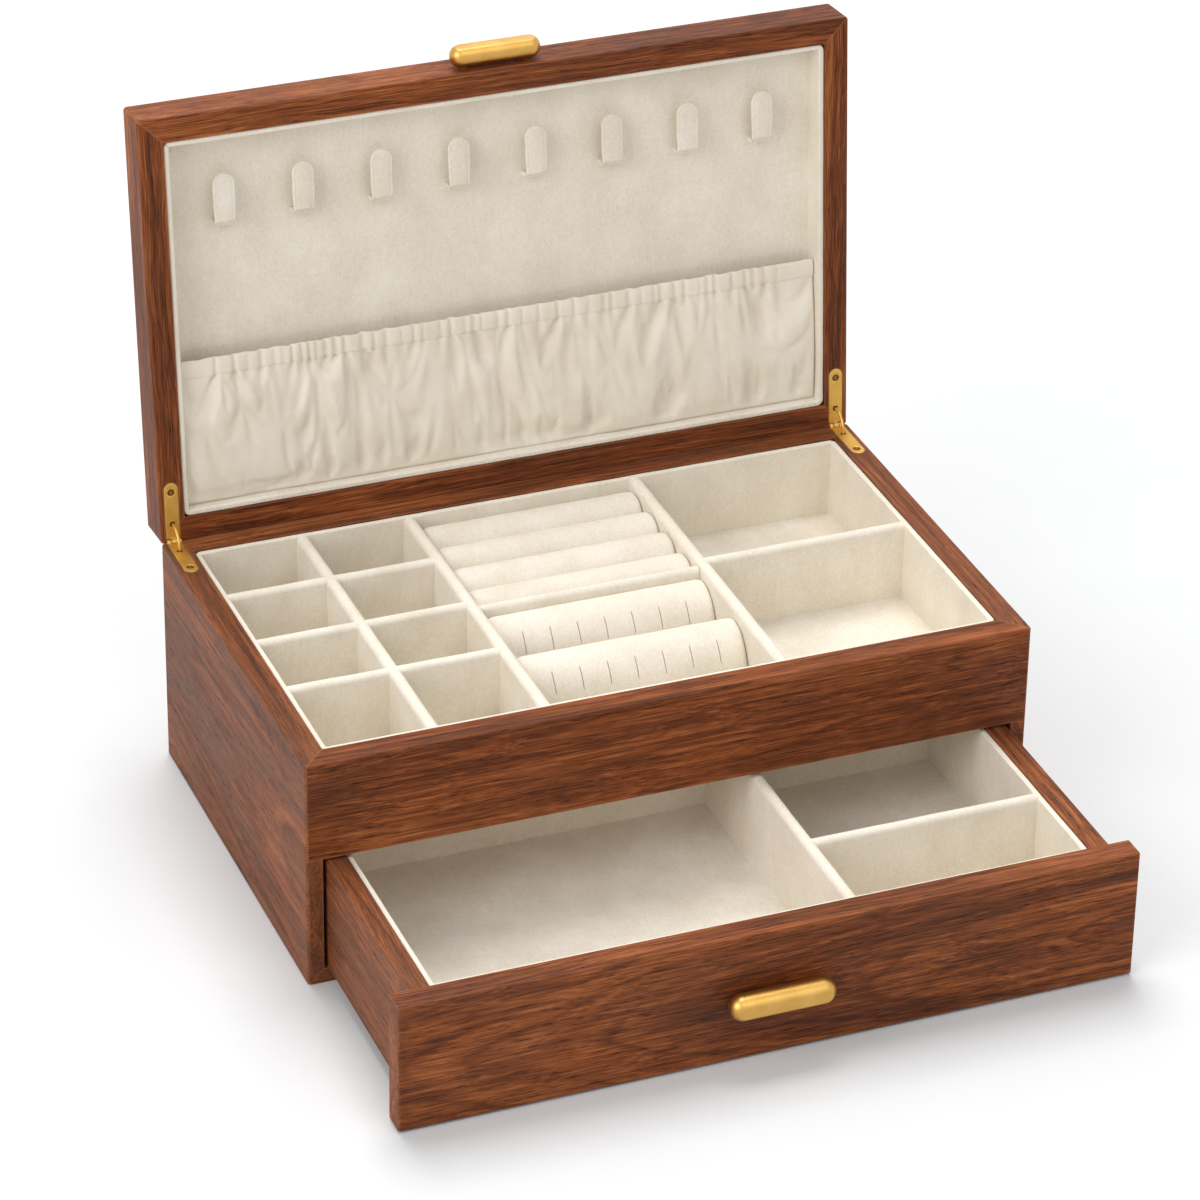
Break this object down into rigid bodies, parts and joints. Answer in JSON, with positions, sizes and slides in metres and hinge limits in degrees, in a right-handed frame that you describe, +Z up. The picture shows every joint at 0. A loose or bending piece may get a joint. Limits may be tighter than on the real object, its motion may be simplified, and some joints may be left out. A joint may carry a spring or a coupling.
{
  "type": "ring box with drawer",
  "caption": "Rectangular wooden jewellery box with a lined ring tray, a lined pull-out drawer, and a hinged lid with necklace hooks and a gathered pocket.",
  "frame": {"origin": "centre of the case's underside, on the surface that it stands on", "axes": "+X to the right and +Y to the back, both seen from the front where the drawer opens, +Z up"},
  "size_m": [0.32, 0.3481, 0.3047],
  "materials": {
    "walnut": "satin varnish",
    "inner_board": "raw",
    "lining_velvet": "short-pile velvet",
    "ring_velvet": "short-pile velvet over foam",
    "pocket_cloth": "soft gathered cloth",
    "satin_gold": "satin",
    "hinge_brass": "brushed",
    "screw_brass": "plain"
  },
  "bodies": {
    "case": {"bottom_board": "walnut", "case_back": "walnut", "case_left_side": "walnut", "case_right_side": "walnut", "cell_row_divider_front": "lining_velvet", "cell_row_divider_middle": "lining_velvet", "cell_row_divider_rear": "lining_velvet", "hinge_lower_leaf_left": "hinge_brass", "hinge_lower_leaf_right": "hinge_brass", "hinge_pins": "hinge_brass", "hinge_screws_case": "hinge_brass", "right_section_divider": "lining_velvet", "ring_pad_front": "ring_velvet", "ring_pad_rear": "ring_velvet", "ring_rolls": "ring_velvet", "ring_section_crossbar": "lining_velvet", "ring_section_divider_left": "lining_velvet", "ring_section_divider_right": "lining_velvet", "small_cell_divider": "lining_velvet", "tray_deck": "inner_board", "tray_floor_pad": "lining_velvet", "tray_liner_back": "lining_velvet", "tray_liner_front": "lining_velvet", "tray_liner_left": "lining_velvet", "tray_liner_right": "lining_velvet", "upper_front_panel": "walnut"},
    "drawer": {"drawer_back": "walnut", "drawer_bottom": "inner_board", "drawer_cross_divider": "lining_velvet", "drawer_floor_pad": "lining_velvet", "drawer_front": "walnut", "drawer_left_side": "walnut", "drawer_liner_back": "lining_velvet", "drawer_liner_front": "lining_velvet", "drawer_liner_left": "lining_velvet", "drawer_liner_right": "lining_velvet", "drawer_long_divider": "lining_velvet", "drawer_pull": "satin_gold", "drawer_pull_screws": "screw_brass", "drawer_right_side": "walnut"},
    "lid": {"hinge_screws_lid": "hinge_brass", "hinge_upper_leaf_left": "hinge_brass", "hinge_upper_leaf_right": "hinge_brass", "lid_back_rail": "walnut", "lid_front_rail": "walnut", "lid_left_rail": "walnut", "lid_liner_back": "lining_velvet", "lid_liner_front": "lining_velvet", "lid_liner_left": "lining_velvet", "lid_liner_panel": "lining_velvet", "lid_liner_right": "lining_velvet", "lid_pocket": "pocket_cloth", "lid_pull": "satin_gold", "lid_pull_screws": "screw_brass", "lid_right_rail": "walnut", "lid_top_panel": "walnut", "necklace_hooks": "lining_velvet"},
    "stays": {"hinge_stay_left": "hinge_brass", "hinge_stay_right": "hinge_brass"}
  },
  "joints": [
    {"name": "lid_hinge", "type": "hinge", "parent": "case", "child": "lid", "pos_m": [0, 0.0954, 0.10493], "axis": [-1, 0, 0], "range_deg": [-95, 0]},
    {"name": "stay_swing", "type": "hinge", "parent": "case", "child": "stays", "pos_m": [0, 0.0954, 0.10493], "axis": [-1, 0, 0], "range_deg": [-47.5, 0]},
    {"name": "drawer_slide", "type": "slide", "parent": "case", "child": "drawer", "axis": [0, -1, 0], "range_m": [-0.0978, 0.02]}
  ],
  "couplings": [
    {"joint": "stay_swing", "follows": "lid_hinge", "ratio": 0.5}
  ]
}
